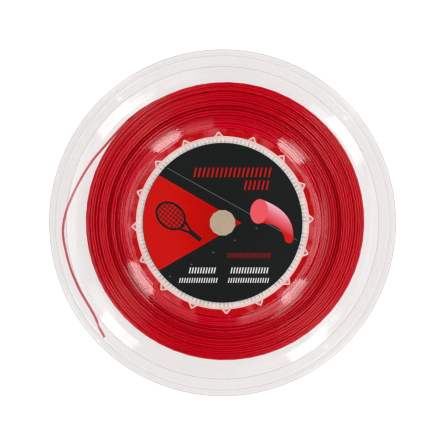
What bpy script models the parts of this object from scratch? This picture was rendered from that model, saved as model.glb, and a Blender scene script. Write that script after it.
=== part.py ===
"""String reel: a clear two-flange spool with a fluted hub, wound with 1.3 mm racket string.

The reel lies on its rear flange. The origin is at the centre of the ring that it rests on, and
+Z runs along the reel's axis to the front flange, which carries the printed label. The string
leaves the winding, bows out between the flanges and ends through a hole in the front flange.
Everything is in metres.
"""
import math

import bmesh
import bpy
from mathutils import Vector

MM = 0.001
GAP = 0.3 * MM  # left between pieces that touch

# Driving dimensions of the spool
REEL_HEIGHT = 46.0 * MM
FLANGE_R = 85.0 * MM
BAND_R = 76.8 * MM  # inside edge of the flat outer band
WALL = 1.4 * MM  # a flange's plate
BAND_WALL = 1.2 * MM
BORE_R = 6.6 * MM  # the spindle's bore
BOSS_R = 9.0 * MM
BOSS_DEPTH = 8.0 * MM  # from the outer face to the boss's inner end
HUB_FACE_R = 46.2 * MM  # edge of the flat hub face, over the sleeve
TROUGH_IN_R = 51.5 * MM  # the trough between hub and band
TROUGH_OUT_R = 67.6 * MM
RIM_WIDTH = 2.4 * MM

# Depths below the reel's outer plane, on either side
HUB_FACE_DEPTH = 0.45 * MM
POCKET_DEPTH = 0.9 * MM  # floor of the label's pocket
HUB_SEAT_DEPTH = 2.4 * MM  # where the sleeve and the core butt against the flange
TROUGH_DEPTH = 1.9 * MM
BAND_DEPTH = 0.5 * MM
RIM_DEPTH = 3.0 * MM  # how deep the rolled rim is

# String anchor holes through the front flange
HOLE_R = 1.3 * MM
HOLE_CIRCLE_R = 79.2 * MM
HOLE_ANGLES = (40.4, 129.8, 219.6, 309.8)  # degrees

# Hub: a sleeve that the string is wound on, round a core with hollow V flutes
FLUTES = 16
FLUTE_OFFSET = 2.5  # degrees from +X to the first flute
FLUTE_HALF_ANGLE = 3.1  # degrees, at the foot of a flute
CORE_R = 42.6 * MM
CORE_BORE_R = 40.0 * MM
FLUTE_TIP_R = 44.9 * MM
FLUTE_TIP_HALF_ANGLE = 0.7
FLUTE_WALL = 0.8 * MM
SLEEVE_BORE_R = 44.8 * MM
SLEEVE_WALL = 1.1 * MM
SLEEVE_SWELL = 0.5 * MM  # how far the sleeve bulges over each flute

# Labels
LABEL_R = 39.2 * MM
LABEL_THICKNESS = 0.25 * MM
PUNCH_R = 6.4 * MM
PUNCH_SIDES = 12

# String
STRING_D = 1.3 * MM
WINDING_R = 68.2 * MM
WINDING_SHIFT = Vector((1.3 * MM, 0.8 * MM, 0.0))  # the winding's outside runs off centre
WINDING_SIDE_DEPTH = 3.7 * MM
START_ANGLE = 92.5  # the string starts inside this flute, and this is its direction in degrees
START_HOLE_R = 1.1 * MM

STEPS = 64  # segments of a turned piece
SLEEVE_STEPS = 6  # outline points between two flutes' centres
CORD_STEP = 1.7 * MM  # spacing of the points along the string

# The tail's route from the winding to its cut end, in millimetres
TAIL_ROUTE = (
    (-47.0, 50.4, 35.0),
    (-51.6, 45.5, 35.1),
    (-58.0, 38.2, 35.6),
    (-64.1, 30.9, 36.7),
    (-69.6, 22.2, 37.9),
    (-74.2, 13.0, 39.0),
    (-77.4, 4.2, 39.8),
    (-78.6, -4.4, 40.3),
    (-77.2, -13.6, 40.8),
    (-74.3, -23.8, 41.1),
    (-70.1, -33.4, 41.3),
    (-65.5, -41.4, 41.3),
    (-63.2, -45.4, 41.6),
    (-62.2, -47.4, 42.15),
    (-61.55, -49.0, 42.65),
    (-61.15, -50.15, 44.0),
    (-60.75, -50.85, 45.8),
    (-60.1, -51.9, 47.15),
    (-59.2, -53.45, 47.65),
    (-57.8, -56.0, 47.3),
)

COLOURS = {  # base colour, roughness, metallic, transmission
    "clear_plastic": ((0.93, 0.94, 0.94, 1.0), 0.06, 0.0, 0.95),
    "milky_plastic": ((0.90, 0.87, 0.84, 1.0), 0.35, 0.0, 0.3),
    "label_print": ((0.016, 0.018, 0.018, 1.0), 0.45, 0.0, 0.0),
    "label_back": ((0.45, 0.35, 0.26, 1.0), 0.80, 0.0, 0.0),
    "red_string": ((0.50, 0.004, 0.012, 1.0), 0.28, 0.0, 0.1),
}


def clear_scene():
    for obj in list(bpy.data.objects):
        bpy.data.objects.remove(obj)


def new_collection(name):
    collection = bpy.data.collections.new(name)
    bpy.context.scene.collection.children.link(collection)
    return collection


def material(name):
    colour, roughness, metallic, transmission = COLOURS[name]
    made = bpy.data.materials.get(name) or bpy.data.materials.new(name)
    made.use_nodes = True
    shader = made.node_tree.nodes["Principled BSDF"]
    shader.inputs["Base Color"].default_value = colour
    shader.inputs["Roughness"].default_value = roughness
    shader.inputs["Metallic"].default_value = metallic
    shader.inputs["Transmission Weight"].default_value = transmission
    return made


def polar(radius, degrees):
    angle = math.radians(degrees)
    return radius * math.cos(angle), radius * math.sin(angle)


def ease(t):
    """0 to 1 with level ends."""
    return t * t * (3.0 - 2.0 * t)


def slope(start, end, points):
    """Points of an S-shaped slope from start to end, without its ends."""
    shares = [i / (points + 1) for i in range(1, points + 1)]
    return [
        (start[0] + (end[0] - start[0]) * t, start[1] + (end[1] - start[1]) * ease(t))
        for t in shares
    ]


def turned(name, profile, collection):
    """A closed (radius, height) profile, spun about Z. It runs down its outer side."""
    mesh = bpy.data.meshes.new(name)
    rim = [(radius, 0.0, height) for radius, height in profile]
    mesh.from_pydata(rim, [(i, (i + 1) % len(rim)) for i in range(len(rim))], [])
    obj = bpy.data.objects.new(name, mesh)
    collection.objects.link(obj)
    screw = obj.modifiers.new("spin", "SCREW")
    screw.steps = STEPS
    screw.render_steps = STEPS
    screw.use_smooth_shade = True
    return obj


def outline_plate(name, outlines, low, high, collection):
    """A solid between two heights with the given flat outlines; those inside the first are holes."""
    curve = bpy.data.curves.new(name, "CURVE")
    curve.dimensions = "2D"
    curve.fill_mode = "BOTH"
    curve.extrude = (high - low) / 2
    for outline in outlines:
        spline = curve.splines.new("POLY")
        spline.points.add(len(outline) - 1)
        spline.use_cyclic_u = True
        for point, (x, y) in zip(spline.points, outline):
            point.co = (x, y, 0.0, 1.0)
    obj = bpy.data.objects.new(name, curve)
    obj.location.z = (low + high) / 2
    collection.objects.link(obj)
    return obj


def as_mesh(obj, collection):
    """The object with its modifiers applied and its caps welded, under the same name."""
    bpy.context.view_layer.update()
    graph = bpy.context.evaluated_depsgraph_get()
    mesh = bpy.data.meshes.new_from_object(obj.evaluated_get(graph))
    name = obj.name
    place = obj.matrix_world.copy()
    bpy.data.objects.remove(obj)
    welded = bmesh.new()
    welded.from_mesh(mesh)
    bmesh.ops.remove_doubles(welded, verts=welded.verts, dist=0.001 * MM)
    welded.to_mesh(mesh)
    welded.free()
    made = bpy.data.objects.new(name, mesh)
    made.matrix_world = place
    collection.objects.link(made)
    return made


def cylinder_cutter(name, radius, length, location, direction, collection):
    mesh = bpy.data.meshes.new(name)
    shape = bmesh.new()
    bmesh.ops.create_cone(
        shape, cap_ends=True, segments=16, radius1=radius, radius2=radius, depth=length
    )
    shape.to_mesh(mesh)
    shape.free()
    cutter = bpy.data.objects.new(name, mesh)
    cutter.location = location
    cutter.rotation_euler = Vector(direction).to_track_quat("Z", "Y").to_euler()
    cutter.hide_render = True
    cutter.display_type = "WIRE"
    collection.objects.link(cutter)
    return cutter


def cut(obj, cutter):
    boolean = obj.modifiers.new(cutter.name, "BOOLEAN")
    boolean.operation = "DIFFERENCE"
    boolean.object = cutter


def tube(name, points, diameter, collection):
    """A round solid along the points."""
    curve = bpy.data.curves.new(name, "CURVE")
    curve.dimensions = "3D"
    curve.bevel_depth = diameter / 2
    curve.bevel_resolution = 2
    curve.use_fill_caps = True
    spline = curve.splines.new("POLY")
    spline.points.add(len(points) - 1)
    for point, place in zip(spline.points, points):
        point.co = (*place, 1.0)
    obj = bpy.data.objects.new(name, curve)
    collection.objects.link(obj)
    return obj


def smooth_route(route, spacing):
    """Points every spacing or so on a smooth curve through the route's points."""
    ends = [2 * route[0] - route[1], *route, 2 * route[-1] - route[-2]]
    made = [route[0]]
    for before, start, end, after in zip(ends, ends[1:], ends[2:], ends[3:]):
        count = max(1, round((end - start).length / spacing))
        for i in range(1, count + 1):
            t = i / count
            made.append(
                0.5
                * (
                    2 * start
                    + (end - before) * t
                    + (2 * before - 5 * start + 4 * end - after) * t**2
                    + (3 * start - before - 3 * end + after) * t**3
                )
            )
    return made


def flange_profile():
    """(radius, depth below the outer plane), out along the outer side and back along the inner."""
    hub_edge = (HUB_FACE_R, HUB_FACE_DEPTH)
    trough_in = (TROUGH_IN_R, TROUGH_DEPTH)
    trough_out = (TROUGH_OUT_R, TROUGH_DEPTH)
    step_foot = (BAND_R - 0.5 * MM, BAND_DEPTH + 0.8 * MM)
    rim_in = FLANGE_R - RIM_WIDTH
    outer = [
        (BORE_R, POCKET_DEPTH),
        (LABEL_R + 0.5 * MM, POCKET_DEPTH),
        (LABEL_R + 0.8 * MM, HUB_FACE_DEPTH),
        hub_edge,
        *slope(hub_edge, trough_in, 2),
        trough_in,
        trough_out,
        *slope(trough_out, step_foot, 1),
        step_foot,
        (BAND_R, BAND_DEPTH),
        (rim_in, BAND_DEPTH),
        (rim_in + 0.5 * MM, 0.12 * MM),
        (rim_in + 1.0 * MM, 0.0),
        (FLANGE_R - 0.5 * MM, 0.0),
        (FLANGE_R, 0.5 * MM),
    ]
    seat_edge = (HUB_FACE_R + 0.6 * MM, HUB_SEAT_DEPTH)
    trough_in_wall = (TROUGH_IN_R, TROUGH_DEPTH + WALL)
    inner = [
        (FLANGE_R, RIM_DEPTH - 0.4 * MM),
        (FLANGE_R - 0.4 * MM, RIM_DEPTH),
        (rim_in + 1.0 * MM, RIM_DEPTH),
        (rim_in + 0.4 * MM, RIM_DEPTH - 0.5 * MM),
        (rim_in, BAND_DEPTH + BAND_WALL),
        (BAND_R + 0.6 * MM, BAND_DEPTH + BAND_WALL),
        (BAND_R, BAND_DEPTH + 0.8 * MM + BAND_WALL),
        (TROUGH_OUT_R, TROUGH_DEPTH + WALL),
        trough_in_wall,
        *slope(trough_in_wall, seat_edge, 1),
        seat_edge,
        (BOSS_R, HUB_SEAT_DEPTH),
        (BOSS_R - 0.2 * MM, BOSS_DEPTH),
        (BORE_R, BOSS_DEPTH),
    ]
    return outer + inner


def make_flanges(parts, cutters):
    """Two clear mouldings of one profile; only the front one is drilled for the string's end."""
    profile = flange_profile()
    front_profile = [(radius, REEL_HEIGHT - depth) for radius, depth in profile]
    front = turned("front_flange", front_profile, parts)
    rear = turned("rear_flange", list(reversed(profile)), parts)
    for number, angle in enumerate(HOLE_ANGLES, start=1):
        x, y = polar(HOLE_CIRCLE_R, angle)
        place = (x, y, REEL_HEIGHT - BAND_DEPTH - BAND_WALL / 2)
        cutter = cylinder_cutter(
            f"anchor_hole_{number}", HOLE_R, 4 * BAND_WALL, place, (0, 0, 1), cutters
        )
        cut(front, cutter)
    for flange in (front, rear):
        flange.data.materials.append(material("clear_plastic"))


def flute_angles():
    return [FLUTE_OFFSET + 360.0 / FLUTES * i for i in range(FLUTES)]


def sleeve_outline(radius):
    """A ring outline that swells over each flute."""
    count = FLUTES * SLEEVE_STEPS
    outline = []
    for i in range(count):
        turn = 360.0 * i / count
        swell = max(0.0, math.cos(math.radians(FLUTES * turn))) ** 2
        outline.append(polar(radius + SLEEVE_SWELL * swell, turn + FLUTE_OFFSET))
    return outline


def core_outline():
    """The core's outside, with a V flute standing out at each flute angle."""
    outline = []
    pitch = 360.0 / FLUTES
    for centre in flute_angles():
        outline += [
            polar(CORE_R, centre - FLUTE_HALF_ANGLE),
            polar(FLUTE_TIP_R, centre - FLUTE_TIP_HALF_ANGLE),
            polar(FLUTE_TIP_R, centre + FLUTE_TIP_HALF_ANGLE),
            polar(CORE_R, centre + FLUTE_HALF_ANGLE),
            polar(CORE_R, centre + pitch * 0.4),
            polar(CORE_R, centre + pitch * 0.6),
        ]
    return outline


def flute_cell(centre):
    """The hollow inside one flute."""
    foot_r = CORE_R - 0.5 * MM
    foot_half = FLUTE_HALF_ANGLE - 1.3
    return [
        polar(foot_r, centre - foot_half),
        polar(FLUTE_TIP_R - FLUTE_WALL, centre - 0.25),
        polar(FLUTE_TIP_R - FLUTE_WALL, centre + 0.25),
        polar(foot_r, centre + foot_half),
    ]


def make_hub(parts, cutters):
    """The winding sleeve and the fluted core, both butting between the two flanges."""
    low = HUB_SEAT_DEPTH + GAP
    high = REEL_HEIGHT - low
    sleeve = outline_plate(
        "hub_sleeve",
        [sleeve_outline(SLEEVE_BORE_R + SLEEVE_WALL), sleeve_outline(SLEEVE_BORE_R)],
        low,
        high,
        parts,
    )
    bore = [polar(CORE_BORE_R, 360.0 * i / STEPS) for i in range(STEPS)]
    cells = [flute_cell(centre) for centre in flute_angles()]
    core = outline_plate("hub_core", [core_outline(), bore, *cells], low, high, parts)
    middle = (*polar(CORE_R, START_ANGLE), REEL_HEIGHT / 2)
    outward = (*polar(1.0, START_ANGLE), 0.0)
    start_hole = cylinder_cutter(
        "string_start_hole", START_HOLE_R, 12 * MM, middle, outward, cutters
    )
    for obj, finish in ((sleeve, "clear_plastic"), (core, "milky_plastic")):
        solid = as_mesh(obj, parts)
        cut(solid, start_hole)
        solid.data.materials.clear()
        solid.data.materials.append(material(finish))


def make_labels(parts):
    """Round card labels in the hub faces' pockets: the front one is punched for the spindle."""
    edge = [polar(LABEL_R, 360.0 * i / STEPS) for i in range(STEPS)]
    punch = [
        polar(PUNCH_R, 360.0 * (i + 0.5) / PUNCH_SIDES) for i in range(PUNCH_SIDES)
    ]
    top = REEL_HEIGHT - POCKET_DEPTH + GAP + LABEL_THICKNESS
    front = outline_plate("front_label", [edge, punch], top - LABEL_THICKNESS, top, parts)
    low = POCKET_DEPTH - GAP - LABEL_THICKNESS
    rear = outline_plate("rear_label", [edge], low, low + LABEL_THICKNESS, parts)
    front.data.materials.append(material("label_print"))
    rear.data.materials.append(material("label_back"))


def make_winding(parts):
    """The wound string as one solid ring, whose outside runs a little off centre."""
    bore_r = SLEEVE_BORE_R + SLEEVE_WALL + SLEEVE_SWELL + GAP
    upper = [
        (bore_r, REEL_HEIGHT - WINDING_SIDE_DEPTH + 0.8 * MM),
        (TROUGH_IN_R, REEL_HEIGHT - WINDING_SIDE_DEPTH),
        (TROUGH_OUT_R - 2.0 * MM, REEL_HEIGHT - WINDING_SIDE_DEPTH),
        (WINDING_R - 0.6 * MM, REEL_HEIGHT - WINDING_SIDE_DEPTH - 0.6 * MM),
        (WINDING_R, REEL_HEIGHT - WINDING_SIDE_DEPTH - 2.6 * MM),
    ]
    lower = [(radius, REEL_HEIGHT - height) for radius, height in reversed(upper)]
    ring = as_mesh(turned("string_winding", upper + lower, parts), parts)
    for vertex in ring.data.vertices:
        radius = vertex.co.xy.length
        share = (radius - bore_r) / (WINDING_R - bore_r)
        vertex.co += WINDING_SHIFT * share
    ring.data.shade_smooth()
    ring.data.materials.clear()
    ring.data.materials.append(material("red_string"))


def start_route():
    """From under the winding in through the hub wall, then bent along the inside of the core."""
    outward = Vector((*polar(1.0, START_ANGLE), 0.0))
    along = Vector((-outward.y, outward.x, 0.0))
    middle = Vector((0.0, 0.0, REEL_HEIGHT / 2))
    outside = SLEEVE_BORE_R + SLEEVE_WALL + SLEEVE_SWELL
    inside = CORE_BORE_R - GAP - STRING_D
    route = (
        (outside, 0.0),
        (CORE_R, 0.0),
        (CORE_BORE_R + 0.4 * MM, 0.1 * MM),
        (inside + 0.6 * MM, 0.9 * MM),
        (inside - 0.2 * MM, 3.0 * MM),
        (inside - 0.4 * MM, 6.5 * MM),
    )
    return [middle + outward * radius + along * aside for radius, aside in route]


def make_string(parts):
    """The string's two ends: its start inside the hub, and the tail between the flanges."""
    tail_route = [Vector(place) * MM for place in TAIL_ROUTE]
    ends = (("string_start", start_route()), ("string_tail", tail_route))
    for name, route in ends:
        string = tube(name, smooth_route(route, CORD_STEP), STRING_D, parts)
        string.data.materials.append(material("red_string"))


def main():
    clear_scene()
    parts = new_collection("string_reel")
    cutters = new_collection("cutters")
    make_flanges(parts, cutters)
    make_hub(parts, cutters)
    make_labels(parts)
    make_winding(parts)
    make_string(parts)


main()
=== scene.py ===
"""Looks of the string reel: clear moulded flanges, a milky fluted core, printed labels and
about 200 m of red string wound turn by turn. Metres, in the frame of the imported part."""

import math

import bmesh
import bpy
import numpy as np
from mathutils import Matrix, Vector


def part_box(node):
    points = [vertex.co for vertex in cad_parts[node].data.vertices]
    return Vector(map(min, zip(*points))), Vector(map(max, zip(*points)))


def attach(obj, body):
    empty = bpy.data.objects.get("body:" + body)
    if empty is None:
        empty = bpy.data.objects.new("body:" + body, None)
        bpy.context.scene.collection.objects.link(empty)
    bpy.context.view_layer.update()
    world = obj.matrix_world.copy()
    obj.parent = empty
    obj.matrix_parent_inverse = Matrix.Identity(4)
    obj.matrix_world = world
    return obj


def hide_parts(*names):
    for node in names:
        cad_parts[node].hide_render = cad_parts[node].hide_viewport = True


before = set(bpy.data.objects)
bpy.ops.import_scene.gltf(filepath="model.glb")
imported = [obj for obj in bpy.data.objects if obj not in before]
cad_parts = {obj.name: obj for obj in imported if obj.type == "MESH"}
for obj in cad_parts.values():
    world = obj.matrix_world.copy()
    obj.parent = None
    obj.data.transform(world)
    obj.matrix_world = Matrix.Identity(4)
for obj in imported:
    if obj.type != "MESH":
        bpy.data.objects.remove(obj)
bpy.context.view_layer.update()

MM = 0.001
SHARP_ANGLE = 35.0  # degrees; a plate's edge is shaded sharp past it
EDGE_BEVEL = 0.1 * MM

# The spool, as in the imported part
flange_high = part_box("front_flange")[1]
REEL_HEIGHT = flange_high.z
FLANGE_R = flange_high.x
BAND_R = 76.8 * MM  # inside edge of the flat outer band
WALL = 1.4 * MM  # a flange's plate
BAND_WALL = 1.2 * MM
BORE_R = 6.6 * MM  # the spindle's bore
BOSS_R = 9.0 * MM
BOSS_DEPTH = 8.0 * MM
HUB_FACE_R = 46.2 * MM
TROUGH_IN_R = 51.5 * MM  # the trough between hub and band
TROUGH_OUT_R = 67.6 * MM
RIM_WIDTH = 2.4 * MM
HOLE_R = 1.3 * MM  # the string holes in the front flange
HOLE_CIRCLE_R = 79.2 * MM
HOLE_ANGLES = (40.4, 129.8, 219.6, 309.8)

# Depths below the reel's outer plane, on either side
HUB_FACE_DEPTH = 0.45 * MM
POCKET_DEPTH = 0.9 * MM  # floor of the label's pocket
HUB_SEAT_DEPTH = 2.4 * MM
TROUGH_DEPTH = 1.9 * MM
BAND_DEPTH = 0.5 * MM
RIM_DEPTH = 3.0 * MM

# The flanges' finer shape
DISH_START_R = 45.2 * MM  # a curved dish leads from the hub face down to the trough's floor
DISH_END_R = TROUGH_IN_R + 3.1 * MM
DISH_LIP = 0.15 * MM  # the small step down at its start
DISH_STEPS = 12
SLOPE_START_R = TROUGH_OUT_R + 3.4 * MM  # a straight slope leads from the floor up to the band
SLOPE_START_DEPTH = TROUGH_DEPTH + 0.43 * MM
BAND_STEP_WIDTH = 0.3 * MM  # the small step where the slope meets the band
BAND_STEP_DEPTH = 0.28 * MM
FLANGE_SEGMENTS = 256
FLANGE_SHARP_ANGLE = 50.0
FILLET_STEPS = 5

# The hub
FLUTES = 16
FLUTE_OFFSET = 2.5  # degrees from +X to the first flute
FLUTE_HALF_ANGLE = 3.1  # at the foot of a flute
FLUTE_TIP_R = 44.9 * MM
FLUTE_TIP_HALF_ANGLE = 0.7
FLUTE_TIP_DROP = 0.25 * MM  # from the middle of a flute's rounded tip to its corners
FLUTE_WALL = 1.0 * MM
FLUTE_FLOOR_DEPTH = 1.0 * MM  # each flute's hollow has a skin this far down, and this thick
CORE_R = 42.6 * MM
CORE_BORE_R = 40.0 * MM
CORE_STEPS = 8  # outline steps between two flutes
CROWN_BORE_R = 38.9 * MM  # the core ends in a crown with a ribbed bore
CROWN_LAP = 0.2 * MM  # how far the crown reaches in past the core's wall
CROWN_DEPTH = 1.2 * MM
RIBS = 128
RIB_DEPTH = 1.5 * MM
NOTCH_MOUTH = 0.2  # half the width of the notch between two ribs, in their pitch
NOTCH_FLOOR = 0.16
SLEEVE_BORE_R = 44.8 * MM
SLEEVE_WALL = 1.1 * MM
SLEEVE_SWELL = 0.5 * MM  # how far the sleeve bulges over each flute
SLEEVE_STEPS = 16  # outline steps from flute to flute
SLEEVE_STAND = 0.1 * MM
COLLAR_DEPTH = 3.0 * MM  # the collars at the sleeve's ends, round the core
COLLAR_GAP = 0.22 * MM
COLLAR_STAND = 0.35 * MM

# The stage
CAMERA_HEIGHT = 1.3  # above the front flange
CAMERA_OFFSET = (0.71 * MM, -0.59 * MM)  # from the reel's axis
SENSOR_WIDTH = 36.0
SEEN_WIDTH = 219.6 * MM  # at the front flange
FLOOR_HALF = 6.0
FLOOR_GAP = 0.2 * MM
PANEL_DISTANCE = 1.5
PANELS = (  # azimuth, spread, start and end off the axis in degrees, and radiance
    (43.0, 10.0, 8.5, 20.0, 1.9),
    (127.0, 15.0, 8.5, 20.0, 1.3),
    (216.5, 17.0, 8.5, 20.0, 1.5),
    (308.5, 16.0, 8.5, 20.0, 1.5),
    (46.5, 14.0, 20.0, 42.0, 4.4),
    (124.5, 14.0, 20.0, 42.0, 4.8),
    (214.0, 17.0, 20.0, 42.0, 4.2),
    (316.0, 14.0, 20.0, 42.0, 4.4),
    (-2.0, 94.0, 24.0, 44.0, 1.9),
    (172.0, 64.0, 24.0, 44.0, 1.15),
    (240.0, 24.0, 22.0, 40.0, 0.3),
    (104.0, 14.0, 22.0, 40.0, 0.6),
    (-12.0, 56.0, 9.0, 22.0, 0.5),
    (296.0, 26.0, 22.0, 40.0, 0.9),
)
FILL_SIZE = 1.4
FILL_RADIANCE = 1.3
WORLD_HORIZON = 0.55  # radiance of the surroundings
WORLD_ZENITH = 0.001
WORLD_FADE = (80.0, 60.0)  # degrees off the vertical from which and to which it fades

# The labels
LABEL_R = 39.2 * MM
LABEL_SIDES = 160
PUNCH_R = 6.4 * MM
PUNCH_SIDES = 12
LABEL_BEVEL = 0.03 * MM
INK_STAND = 0.03 * MM  # how far the print stands above the card
INK_DEPTH = 0.1 * MM  # how deep it is let into it
FINE_INK_DEPTH = 0.04 * MM
INK_STACK = 0.004 * MM  # each colour stands this much above the one before
INK_ROUGHNESS = (0.34, 0.46)
INK_EDGE_R = 39.0 * MM
WEDGE_TIP_X = 9.2 * MM
WEDGE_HALF_ANGLE = 30.0
GREY_LINE = ((-27.2, 26.9), (36.6, -8.6))  # in mm, as are the dots and the strokes
GREY_LINE_WIDTH = 0.36 * MM
DOT_START = (16.6, -2.7)
DOT_STEP = (-10.6, -5.9)
DOT_NUMBERS = (-2, 0, 1, 2, 3, 4)
DOT_R = 0.42 * MM
RED_STROKES = (  # start, end, foot, height, pitch and thickness
    (-14.3, 24.2, 22.4, 4.6, 2.15, 0.75),
    (10.4, 24.2, 16.1, 4.6, 2.15, 0.75),
)
DULL_STROKES = ((2.2, 23.4, -17.3, 2.5, 1.2, 0.5),)
WHITE_STROKES = (
    (-16.6, -2.5, -24.8, 2.9, 1.35, 0.6),
    (3.8, 23.0, -24.8, 2.9, 1.35, 0.6),
    (-21.4, -2.6, -29.4, 2.4, 1.2, 0.5),
    (2.6, 23.0, -29.4, 2.4, 1.2, 0.5),
)
STROKE_SLANT = 0.22
RACKET_HEAD = (-25.4 * MM, 3.4 * MM)
RACKET_TILT = -39.0
RACKET_LONG = 8.2 * MM
RACKET_SHORT = 6.4 * MM
RACKET_FRAME = 1.1 * MM
RACKET_MESH = 1.75 * MM
RACKET_STRING = 0.42 * MM

# The string
STRING_D = 1.3 * MM
LAYERS = 20
LAYER_PITCH = 1.095 * MM
TURN_PITCH = 1.305 * MM
FIRST_LAYER_R = 47.15 * MM
HUB_SIDE_GAP = 2.55 * MM  # from the reel's outer plane to the first layer's end
SIDE_GAP = 3.4 * MM  # the same further out
SIDE_GAP_STRETCH = 4.4 * MM  # over which it widens
FRONT_UNEVENNESS = 2.4  # how far a layer may stop short, in string diameters
REAR_UNEVENNESS = 0.4
WANDER_OUT = 0.3 * MM  # how far the turns wander
WANDER_ALONG = 0.4 * MM
WINDING_SHIFT = Vector((1.3 * MM, 0.8 * MM, 0.0))  # the outside runs off centre
TURN_STEPS = 56
STRING_SIDES = 7
WINDING_PIECES = 5
JOIN_TURNS = 0.09  # the last stretch of the winding, which leads into the free end
START_ANGLE = 92.5  # the flute where the string starts
TAIL_ROUTE = (  # the free end from the winding to its cut end, in mm
    (-47.0, 50.4, 35.0),
    (-51.6, 45.5, 35.1),
    (-58.0, 38.2, 35.6),
    (-64.1, 30.9, 36.7),
    (-69.6, 22.2, 37.9),
    (-74.2, 13.0, 39.0),
    (-77.4, 4.2, 39.8),
    (-78.6, -4.4, 40.3),
    (-77.2, -13.6, 40.8),
    (-74.3, -23.8, 41.1),
    (-70.1, -33.4, 41.3),
    (-65.5, -41.4, 41.3),
    (-63.2, -45.4, 41.6),
    (-62.2, -47.4, 42.15),
    (-61.55, -49.0, 42.65),
    (-61.15, -50.15, 44.0),
    (-60.75, -50.85, 45.8),
    (-60.1, -51.9, 47.15),
    (-59.2, -53.45, 47.65),
    (-57.8, -56.0, 47.3),
)


# ---------------------------------------------------------------- helpers


def polar(radius, degrees):
    angle = math.radians(degrees)
    return radius * math.cos(angle), radius * math.sin(angle)


def ease(t):
    t = np.clip(t, 0.0, 1.0)
    return t * t * (3.0 - 2.0 * t)


def add_mesh(name, points, faces):
    mesh = bpy.data.meshes.new(name)
    mesh.from_pydata([tuple(p) for p in points], [], [tuple(f) for f in faces])
    mesh.validate()
    mesh.shade_smooth()
    obj = bpy.data.objects.new(name, mesh)
    bpy.context.scene.collection.objects.link(obj)
    return obj


def paint(piece, *finishes):
    piece.data.materials.clear()
    for finish in finishes:
        piece.data.materials.append(finish)


def settle(piece, node):
    """The piece rides on the reel and stands for the node, whose part is hidden."""
    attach(piece, "root")
    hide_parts(node)


def evaluated_mesh(obj, weld=None):
    """Replaces a curve, or an object with modifiers, by the mesh that it makes."""
    bpy.context.view_layer.update()
    graph = bpy.context.evaluated_depsgraph_get()
    mesh = bpy.data.meshes.new_from_object(obj.evaluated_get(graph))
    name = obj.name
    place = obj.matrix_world.copy()
    bpy.data.objects.remove(obj)
    if weld is not None:
        shape = bmesh.new()
        shape.from_mesh(mesh)
        bmesh.ops.remove_doubles(shape, verts=shape.verts, dist=weld)
        shape.to_mesh(mesh)
        shape.free()
    mesh.transform(place)
    made = bpy.data.objects.new(name, mesh)
    bpy.context.scene.collection.objects.link(made)
    return made


def rounded(corners):
    """A closed profile whose corners, given as (radius, height, fillet), are rounded."""
    made = []
    count = len(corners)
    for i, (x, y, fillet) in enumerate(corners):
        here = Vector((x, y))
        back = Vector(corners[i - 1][:2]) - here
        on = Vector(corners[(i + 1) % count][:2]) - here
        if fillet <= 0.0:
            made.append(here)
            continue
        half = back.angle(on) / 2
        reach = min(fillet / math.tan(half), 0.45 * back.length, 0.45 * on.length)
        start = here + back.normalized() * reach
        end = here + on.normalized() * reach
        for k in range(FILLET_STEPS + 1):
            t = k / FILLET_STEPS
            made.append(start.lerp(here, t).lerp(here.lerp(end, t), t))
    return made


def turned(name, profile):
    """A closed profile of (radius, height) points spun about Z."""
    rim = np.array([(p[0], p[1]) for p in profile])
    angles = np.linspace(0.0, 2.0 * np.pi, FLANGE_SEGMENTS, endpoint=False)
    count = len(rim)
    points = np.stack(
        [
            np.outer(np.cos(angles), rim[:, 0]),
            np.outer(np.sin(angles), rim[:, 0]),
            np.tile(rim[:, 1], (FLANGE_SEGMENTS, 1)),
        ],
        axis=-1,
    ).reshape(-1, 3)
    faces = []
    for s in range(FLANGE_SEGMENTS):
        here = s * count
        there = (s + 1) % FLANGE_SEGMENTS * count
        for i in range(count):
            j = (i + 1) % count
            faces.append((here + i, here + j, there + j, there + i))
    return add_mesh(name, points, faces)


def outline_plate(name, outlines, low, high, bevel=0.0):
    """A solid between two heights with flat outlines; those inside the first are holes."""
    curve = bpy.data.curves.new(name, "CURVE")
    curve.dimensions = "2D"
    curve.fill_mode = "BOTH"
    curve.extrude = (high - low) / 2 - bevel
    curve.bevel_depth = bevel
    curve.bevel_resolution = 1
    curve.offset = -bevel
    for outline in outlines:
        spline = curve.splines.new("POLY")
        spline.points.add(len(outline) - 1)
        spline.use_cyclic_u = True
        for point, (x, y) in zip(spline.points, outline):
            point.co = (x, y, 0.0, 1.0)
    obj = bpy.data.objects.new(name, curve)
    obj.location.z = (low + high) / 2
    bpy.context.scene.collection.objects.link(obj)
    plate = evaluated_mesh(obj, weld=0.001 * MM)
    plate.data.shade_smooth()
    plate.data.set_sharp_from_angle(angle=math.radians(SHARP_ANGLE))
    return plate


def prism(name, outline, low, high):
    """A plain closed prism, used as a cutter."""
    count = len(outline)
    points = [(x, y, low) for x, y in outline] + [(x, y, high) for x, y in outline]
    faces = [tuple(reversed(range(count))), tuple(range(count, 2 * count))]
    for i in range(count):
        j = (i + 1) % count
        faces.append((i, j, j + count, i + count))
    return add_mesh(name, points, faces)


def smooth_route(route, spacing):
    """Points every spacing or so on a smooth curve through the route's points."""
    ends = [2 * route[0] - route[1], *route, 2 * route[-1] - route[-2]]
    made = [route[0]]
    for before, start, end, after in zip(ends, ends[1:], ends[2:], ends[3:]):
        count = max(1, round((end - start).length / spacing))
        for i in range(1, count + 1):
            t = i / count
            made.append(
                0.5
                * (
                    2 * start
                    + (end - before) * t
                    + (2 * before - 5 * start + 4 * end - after) * t**2
                    + (3 * start - before - 3 * end + after) * t**3
                )
            )
    return made


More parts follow.
